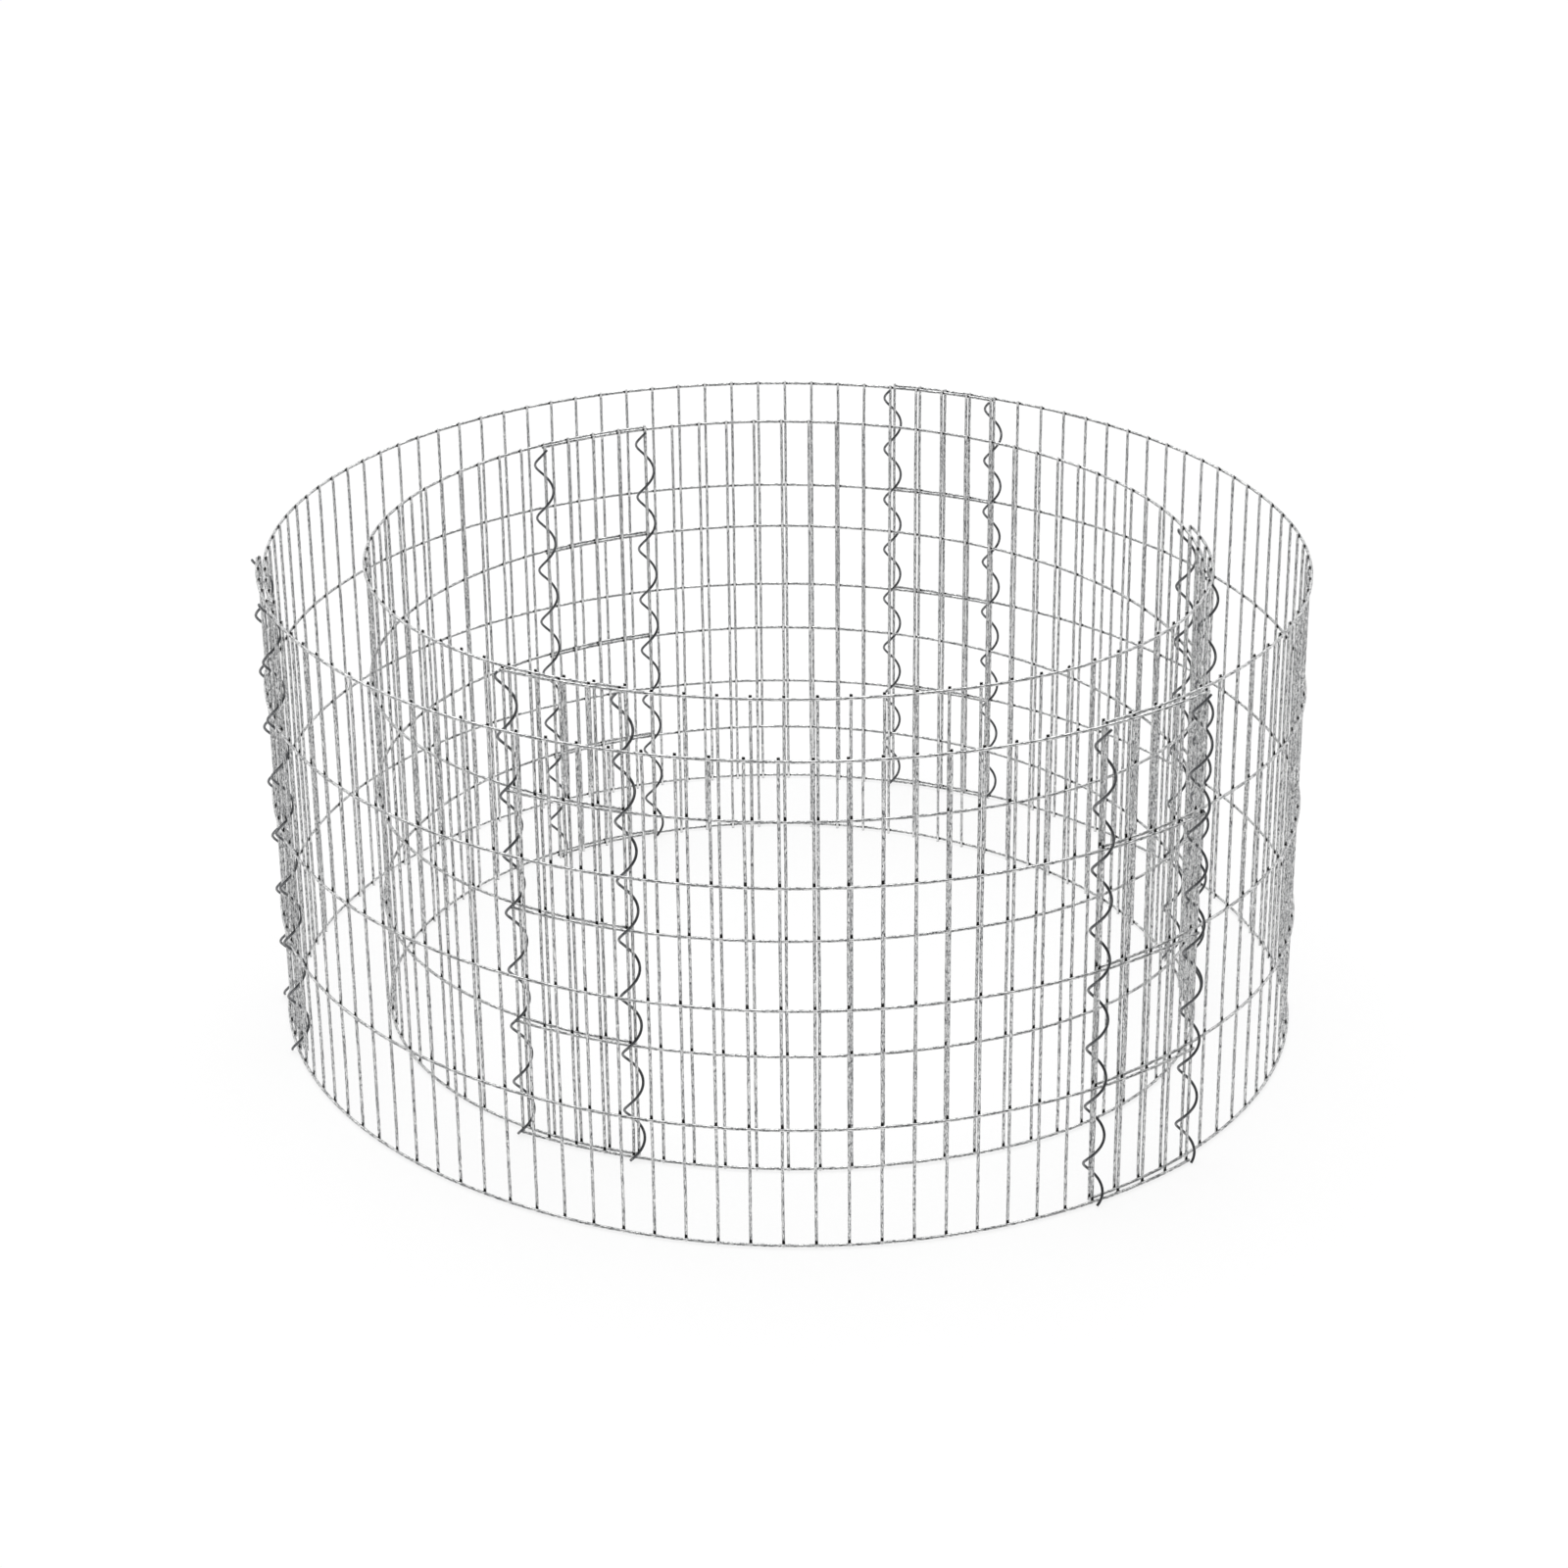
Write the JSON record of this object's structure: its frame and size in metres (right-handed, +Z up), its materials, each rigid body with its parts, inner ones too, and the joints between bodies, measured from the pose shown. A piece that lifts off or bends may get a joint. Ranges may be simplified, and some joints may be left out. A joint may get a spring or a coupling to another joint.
{
  "type": "gabion basket",
  "caption": "Round planter gabion: an outer and an inner ring of bent welded wire mesh, laced with wire spirals, for stone between the rings and soil inside the inner ring.",
  "frame": {"origin": "middle of the basket's box in plan, on the ground", "axes": "+Z up; -Y is the side that faces the viewer in the picture"},
  "size_m": [0.8636, 0.8703, 0.405],
  "materials": {
    "mesh_wire": "galvanised, dull",
    "spiral_wire": "galvanised, dull"
  },
  "bodies": {
    "root": {"outer_panel_right": "mesh_wire", "outer_panel_back": "mesh_wire", "outer_panel_front": "mesh_wire", "inner_panel_back": "mesh_wire", "inner_panel_left": "mesh_wire", "inner_panel_front": "mesh_wire", "outer_spiral_back_a": "spiral_wire", "outer_spiral_back_b": "spiral_wire", "outer_spiral_left_a": "spiral_wire", "outer_spiral_left_b": "spiral_wire", "outer_spiral_front_a": "spiral_wire", "outer_spiral_front_b": "spiral_wire", "inner_spiral_back_a": "spiral_wire", "inner_spiral_back_b": "spiral_wire", "inner_spiral_front_a": "spiral_wire", "inner_spiral_front_b": "spiral_wire", "inner_spiral_right_a": "spiral_wire", "inner_spiral_right_b": "spiral_wire"}
  },
  "joints": []
}
